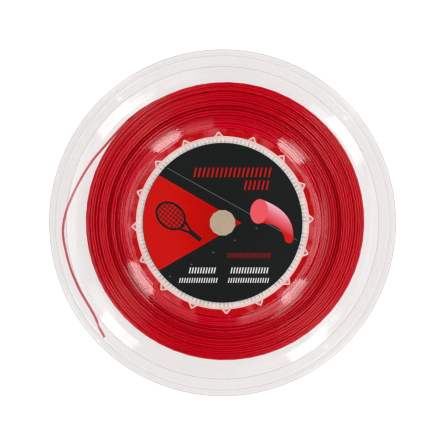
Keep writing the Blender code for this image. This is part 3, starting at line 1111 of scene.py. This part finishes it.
def make_string_ends(string_material):
    """The string's start, threaded through the hub's wall, and its free end."""
    outward = Vector((*polar(1.0, START_ANGLE), 0.0))
    along = Vector((-outward.y, outward.x, 0.0))
    middle = Vector((0.0, 0.0, REEL_HEIGHT / 2))
    outside = SLEEVE_BORE_R + SLEEVE_WALL + SLEEVE_SWELL
    inside = CORE_BORE_R - 0.3 * MM - STRING_D
    route = (
        (outside, 0.0),
        (CORE_R, 0.0),
        (CORE_BORE_R + 0.4 * MM, 0.1 * MM),
        (inside + 0.6 * MM, 0.9 * MM),
        (inside - 0.2 * MM, 3.0 * MM),
        (inside - 0.4 * MM, 6.5 * MM),
    )
    places = [middle + outward * radius + along * aside for radius, aside in route]
    start = string_curve("string_start_end", smooth_route(places, 0.6 * MM))
    paint(start, string_material)
    settle(start, "string_start")
    places = [Vector(place) * MM for place in TAIL_ROUTE]
    points = smooth_route(places, 0.8 * MM)
    tail = string_curve("string_tail_end", points)
    paint(tail, string_material)
    settle(tail, "string_tail")


# ---------------------------------------------------------------- stage


def make_camera():
    """Straight above the reel, looking down."""
    data = bpy.data.cameras.new("camera")
    data.sensor_width = SENSOR_WIDTH
    data.lens = SENSOR_WIDTH * CAMERA_HEIGHT / SEEN_WIDTH
    data.clip_start = 0.05
    data.clip_end = 20.0
    camera = bpy.data.objects.new("camera", data)
    camera.location = (*CAMERA_OFFSET, REEL_HEIGHT + CAMERA_HEIGHT)
    bpy.context.scene.collection.objects.link(camera)
    bpy.context.scene.camera = camera


def make_floor():
    half = FLOOR_HALF
    corners = [(-half, -half, 0.0), (half, -half, 0.0), (half, half, 0.0), (-half, half, 0.0)]
    floor = add_mesh("floor", corners, [(0, 1, 2, 3)])
    floor.location.z = -FLOOR_GAP
    paint(floor, floor_material())


def light_panel(name, azimuth, spread, near, far, radiance):
    """A panel facing the reel: its azimuth and spread, and where off the axis it begins and ends."""
    off_axis = math.radians((near + far) / 2)
    direction = Vector((*polar(math.sin(off_axis), azimuth), math.cos(off_axis)))
    side = Vector((*polar(1.0, azimuth + 90.0), 0.0))
    data = bpy.data.lights.new(name, "AREA")
    data.shape = "RECTANGLE"
    data.size = 2 * PANEL_DISTANCE * math.sin(off_axis) * math.tan(math.radians(spread / 2))
    data.size_y = 2 * PANEL_DISTANCE * math.tan(math.radians((far - near) / 2))
    data.energy = radiance * math.pi * data.size * data.size_y
    light = bpy.data.objects.new(name, data)
    axes = Matrix((side, direction.cross(side), direction)).transposed()
    light.matrix_world = Matrix.Translation(direction * PANEL_DISTANCE) @ axes.to_4x4()
    light.visible_camera = False
    bpy.context.scene.collection.objects.link(light)


def make_fill():
    """Soft light from straight above that leaves no reflection in the flat plastic."""
    data = bpy.data.lights.new("fill_panel", "AREA")
    data.shape = "DISK"
    data.size = FILL_SIZE
    data.energy = FILL_RADIANCE * math.pi**2 * FILL_SIZE**2 / 4
    light = bpy.data.objects.new("fill_panel", data)
    light.location.z = PANEL_DISTANCE
    light.visible_glossy = False
    light.visible_camera = False
    bpy.context.scene.collection.objects.link(light)


def make_world():
    """Soft light from all round that fades upwards from the horizon."""
    world = bpy.data.worlds.new("studio")
    world.use_nodes = True
    tree = world.node_tree
    direction = tree.nodes.new("ShaderNodeTexCoord")
    split = tree.nodes.new("ShaderNodeSeparateXYZ")
    tree.links.new(direction.outputs["Generated"], split.inputs["Vector"])
    fade = tree.nodes.new("ShaderNodeMapRange")
    fade.inputs["From Min"].default_value = math.cos(math.radians(WORLD_FADE[0]))
    fade.inputs["From Max"].default_value = math.cos(math.radians(WORLD_FADE[1]))
    fade.inputs["To Min"].default_value = WORLD_HORIZON
    fade.inputs["To Max"].default_value = WORLD_ZENITH
    tree.links.new(split.outputs["Z"], fade.inputs["Value"])
    tree.nodes["Background"].inputs["Color"].default_value = (1.0, 1.0, 1.0, 1.0)
    tree.links.new(fade.outputs["Result"], tree.nodes["Background"].inputs["Strength"])
    bpy.context.scene.world = world


def make_lights():
    for number, panel in enumerate(PANELS, start=1):
        light_panel(f"panel_{number}", *panel)
    make_fill()
    make_world()


# ---------------------------------------------------------------- build

make_camera()
front_plastic = clear_plastic("clear_plastic", (0.987, 0.986, 0.984), 0.7, 0.04, 1.0)
rear_plastic = clear_plastic("clear_rear_plastic", (0.961, 0.958, 0.956), 0.9, 0.01, 0.4)
# painted shade: a darker copy of the clear plastic for the walls of the rim and the step
rim_plastic = clear_plastic("clear_rim_plastic", (0.93, 0.925, 0.92), 0.4, 0.04, 1.0)
# painted shade: the winding's string darkens where seen edge on, as in its grooves
string_material = red_string("red_string", 0.0, (0.4, 0.0, 0.004), 1.2)
# painted light: the free end is paler, with a pale pink painted sheen where seen edge on
tail_material = red_string("red_string_in_the_open", 0.08, (0.98, 0.64, 0.68), 1.0)
make_string_ends(tail_material)
make_flanges(front_plastic, rear_plastic, rim_plastic)
make_hub(
    glowing_plastic(),
    milky_plastic("milky_plastic", (0.9, 0.86, 0.83), (1.0, 0.98, 0.96)),
    # painted shade: a darker copy of the milky plastic for the core's body, seen only down the
    # notches between the crown's ribs
    milky_plastic("milky_plastic_in_shade", (0.46, 0.39, 0.37), (0.88, 0.83, 0.8)),
    flute_floor_plastic(),
)
make_labels(
    {
        "black": print_ink("label_black", (0.011, 0.013, 0.013), (0.015, 0.017, 0.017)),
        "red": print_ink("label_red", (0.66, 0.004, 0.002), (0.72, 0.006, 0.004)),
        "dull_red": print_ink("label_dull_red", (0.3, 0.006, 0.005), (0.36, 0.008, 0.006)),
        "white": print_ink("label_white", (0.82, 0.82, 0.82), (0.88, 0.88, 0.88)),
        "grey": print_ink("label_grey", (0.09, 0.1, 0.1), (0.12, 0.13, 0.13)),
        "drawn_string": drawn_string_ink(),
        "drawn_face": print_ink("label_drawn_face", (0.94, 0.1, 0.12), (0.98, 0.12, 0.14)),
        "card": bare_card(),
    }
)
make_winding(string_material)
make_floor()
make_lights()
scene = bpy.context.scene
scene.view_settings.view_transform = "Standard"
scene.cycles.filter_width = 1.25
scene.cycles.max_bounces = 24
scene.cycles.transmission_bounces = 24
scene.cycles.transparent_max_bounces = 24
